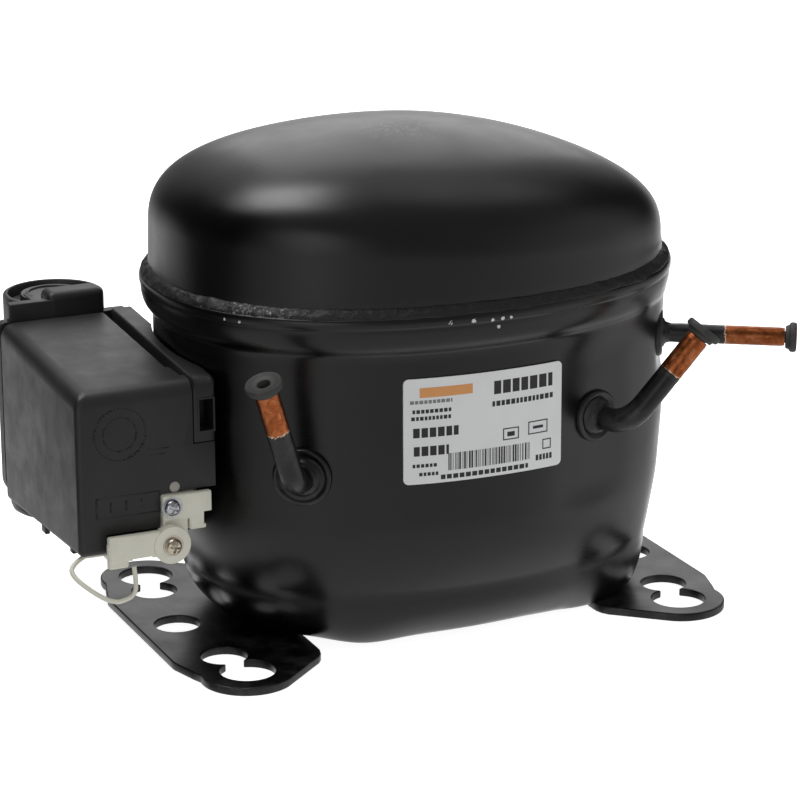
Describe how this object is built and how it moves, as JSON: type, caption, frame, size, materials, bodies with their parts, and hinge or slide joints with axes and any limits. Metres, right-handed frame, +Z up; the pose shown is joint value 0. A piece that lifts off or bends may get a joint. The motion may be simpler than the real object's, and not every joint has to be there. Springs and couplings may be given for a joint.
{
  "type": "hermetic reciprocating compressor",
  "caption": "Black welded-shell refrigeration compressor on flat mounting plates, with copper tube stubs, a terminal box and a sprung piston pump inside.",
  "frame": {"origin": "centre of the footprint, at the underside of the mounting plates, with the tether loop left out", "axes": "+Z up; +X along the shell's long axis, from the terminal box towards the discharge tube; the rating label faces -Y"},
  "size_m": [0.263, 0.1824, 0.177],
  "materials": {
    "black_paint": "satin",
    "black_plastic": "satin",
    "white_nylon": "satin",
    "copper": "satin",
    "rubber": "matte",
    "zinc_steel": "satin",
    "label_foil": "satin",
    "machined_steel": "satin",
    "lamination_steel": "matte",
    "enamelled_winding": "satin",
    "cast_iron": "matte",
    "aluminium": "satin",
    "muffler_plastic": "matte"
  },
  "bodies": {
    "shell": {"lower_shell": "black_paint", "upper_shell": "black_paint", "shell_weld_bead": "black_paint", "base_plate_left": "black_paint", "base_plate_right": "black_paint", "process_stub": "black_paint", "process_copper_sleeve": "copper", "suction_stub": "black_paint", "suction_copper_sleeve": "copper", "discharge_stub": "black_paint", "discharge_copper_sleeve": "copper", "rating_label": "label_foil", "terminal_box_base": "black_plastic", "hermetic_terminal": "zinc_steel", "start_relay": "black_plastic", "overload_protector": "black_plastic", "start_capacitor": "black_plastic", "capacitor_lid": "black_plastic", "capacitor_holder": "black_plastic", "cord_clamp_foot": "white_nylon", "foot_screw": "zinc_steel", "clamp_bar_screw": "zinc_steel", "suspension_spring_1": "machined_steel", "suspension_spring_2": "machined_steel", "suspension_spring_3": "machined_steel", "suspension_spring_4": "machined_steel"},
    "pump_unit": {"stator_core": "lamination_steel", "lower_winding": "enamelled_winding", "upper_winding": "enamelled_winding", "crankcase": "cast_iron", "stator_bolt_1": "zinc_steel", "stator_bolt_2": "zinc_steel", "stator_bolt_3": "zinc_steel", "stator_bolt_4": "zinc_steel", "valve_plate": "machined_steel", "cylinder_head": "aluminium", "head_bolt_1": "zinc_steel", "head_bolt_2": "zinc_steel", "head_bolt_3": "zinc_steel", "head_bolt_4": "zinc_steel", "suction_muffler": "muffler_plastic", "discharge_pipe": "copper"},
    "crank": {"crankshaft": "machined_steel", "counterweight": "cast_iron", "rotor": "lamination_steel", "oil_pickup": "machined_steel"},
    "piston": {"piston": "cast_iron", "gudgeon_pin": "machined_steel"},
    "rod": {"connecting_rod": "aluminium", "crank_pin": "machined_steel"},
    "suction_reed": {"suction_reed": "machined_steel"},
    "discharge_reed": {"discharge_reed": "machined_steel"},
    "cover": {"terminal_cover": "black_plastic"},
    "clamp_bar": {"cord_clamp_bar": "white_nylon", "clamp_tether": "white_nylon"},
    "process_cap": {"process_cap": "rubber"},
    "suction_cap": {"suction_cap": "rubber"},
    "discharge_cap": {"discharge_cap": "rubber"}
  },
  "joints": [
    {"name": "suspension", "type": "slide", "parent": "shell", "child": "pump_unit", "axis": [0, 0, 1], "range_m": [-0.003, 0.003], "stiffness_N_per_m": 13200, "springref_m": 0.00306, "deforming": ["suspension_spring_1", "suspension_spring_2", "suspension_spring_3", "suspension_spring_4"]},
    {"name": "crank_spin", "type": "hinge", "parent": "pump_unit", "child": "crank", "pos_m": [0.00422, -0.00234, 0], "axis": [0, 0, 1], "continuous": true},
    {"name": "piston_slide", "type": "slide", "parent": "pump_unit", "child": "piston", "axis": [1, 0, 0], "range_m": [0, 0.012]},
    {"name": "rod_swing", "type": "hinge", "parent": "piston", "child": "rod", "pos_m": [0.03822, -0.00234, 0.123], "axis": [0, 0, 1], "range_deg": [-8.6, 8.6]},
    {"name": "suction_reed_open", "type": "hinge", "parent": "pump_unit", "child": "suction_reed", "pos_m": [0.06077, 0.00666, 0.12], "axis": [0, 0, -1], "range_deg": [0, 5], "stiffness_Nm_per_rad": 0.002},
    {"name": "discharge_reed_open", "type": "hinge", "parent": "pump_unit", "child": "discharge_reed", "pos_m": [0.06467, 0.00666, 0.1275], "axis": [0, 0, 1], "range_deg": [0, 5], "stiffness_Nm_per_rad": 0.002},
    {"name": "cover_pull", "type": "slide", "parent": "shell", "child": "cover", "axis": [-1, 0, 0], "range_m": [0, 0.045]},
    {"name": "clamp_bar_swing", "type": "hinge", "parent": "shell", "child": "clamp_bar", "pos_m": [-0.09938, -0.04424, 0.0476], "axis": [0, -1, 0], "range_deg": [0, 40]},
    {"name": "process_cap_pull", "type": "slide", "parent": "shell", "child": "process_cap", "axis": [-0.3206, -0.1703, 0.9318], "range_m": [0, 0.012]},
    {"name": "suction_cap_pull", "type": "slide", "parent": "shell", "child": "suction_cap", "axis": [0.6301, -0.12, 0.7672], "range_m": [0, 0.012]},
    {"name": "discharge_cap_pull", "type": "slide", "parent": "shell", "child": "discharge_cap", "axis": [0.8659, -0.5, -0.015], "range_m": [0, 0.012]}
  ]
}
